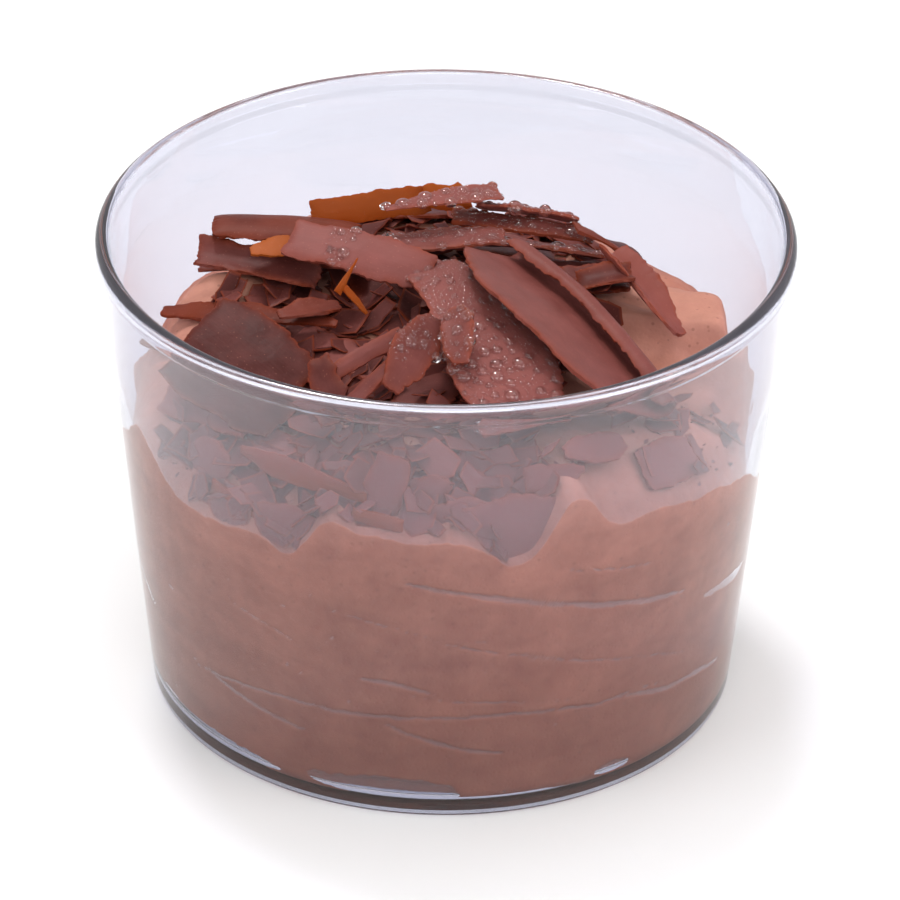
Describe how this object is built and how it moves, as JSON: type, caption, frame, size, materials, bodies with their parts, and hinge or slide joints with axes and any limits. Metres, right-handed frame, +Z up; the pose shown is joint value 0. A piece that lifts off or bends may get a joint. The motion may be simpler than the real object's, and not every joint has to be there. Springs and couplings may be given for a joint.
{
  "type": "chocolate mousse dessert in a clear cup",
  "caption": "Single-serve chocolate mousse filling a clear tapered cup and rising to a mound, heaped with curled and broken scraped chocolate shavings.",
  "frame": {"origin": "on the resting plane, under the middle of the cup", "axes": "+Z up along the cup's axis; -Y is the front, the side with the most shavings; +X is to the right seen from the front"},
  "size_m": [0.082, 0.082, 0.059],
  "materials": {
    "clear_cup": "clear polished moulded plastic",
    "chocolate_mousse": "matt, airy, finely pored",
    "dark_chocolate": "satin, finely scraped",
    "thin_backlit_chocolate": "thin, satin, light glows through"
  },
  "bodies": {
    "root": {"cup": "clear_cup", "mousse": "chocolate_mousse", "shaving_amber_bit": "thin_backlit_chocolate", "shaving_amber_stick": "thin_backlit_chocolate", "shaving_arm": "dark_chocolate", "shaving_bed_centre": "dark_chocolate", "shaving_bed_front": "dark_chocolate", "shaving_bed_rear": "dark_chocolate", "shaving_bed_right": "dark_chocolate", "shaving_boat": "dark_chocolate", "shaving_crest_flake": "dark_chocolate", "shaving_far_edge": "dark_chocolate", "shaving_far_left": "dark_chocolate", "shaving_far_low": "dark_chocolate", "shaving_far_middle": "dark_chocolate", "shaving_far_right": "dark_chocolate", "shaving_fold": "dark_chocolate", "shaving_front_flake": "dark_chocolate", "shaving_gap_flake": "dark_chocolate", "shaving_left_amber_leaf": "thin_backlit_chocolate", "shaving_left_curl": "dark_chocolate", "shaving_left_ledge": "dark_chocolate", "shaving_left_plate": "dark_chocolate", "shaving_left_roll_high": "dark_chocolate", "shaving_left_roll_low": "dark_chocolate", "shaving_left_splinter": "dark_chocolate", "shaving_long_leaf": "dark_chocolate", "shaving_rear_amber": "thin_backlit_chocolate", "shaving_rear_amber_tip": "thin_backlit_chocolate", "shaving_rear_flat": "dark_chocolate", "shaving_rear_spike": "dark_chocolate", "shaving_rear_taper": "dark_chocolate", "shaving_ridge_bar": "dark_chocolate", "shaving_ridge_bar_rear": "dark_chocolate", "shaving_right_plate": "dark_chocolate", "shaving_right_roll_high": "dark_chocolate", "shaving_right_roll_low": "dark_chocolate", "shaving_shaded_fold": "dark_chocolate", "shaving_stick_lower": "dark_chocolate", "shaving_stick_middle": "dark_chocolate", "shaving_stick_upper": "dark_chocolate", "shaving_tongue": "dark_chocolate", "shaving_wall_big": "dark_chocolate", "shaving_wall_far_left": "dark_chocolate", "shaving_wall_grey": "dark_chocolate", "shaving_wall_left_inner": "dark_chocolate", "shaving_wall_left_upper": "dark_chocolate", "shaving_wall_long": "dark_chocolate", "shaving_wall_low": "dark_chocolate", "shaving_wall_middle": "dark_chocolate", "shaving_wall_red_edge": "dark_chocolate", "shaving_wall_red_stick": "dark_chocolate", "shaving_wall_right": "dark_chocolate", "shaving_wall_right_upper": "dark_chocolate", "shaving_wall_round": "dark_chocolate", "shaving_wall_tall": "dark_chocolate", "shaving_wall_tip": "dark_chocolate", "shaving_wall_upright": "dark_chocolate"}
  },
  "joints": []
}
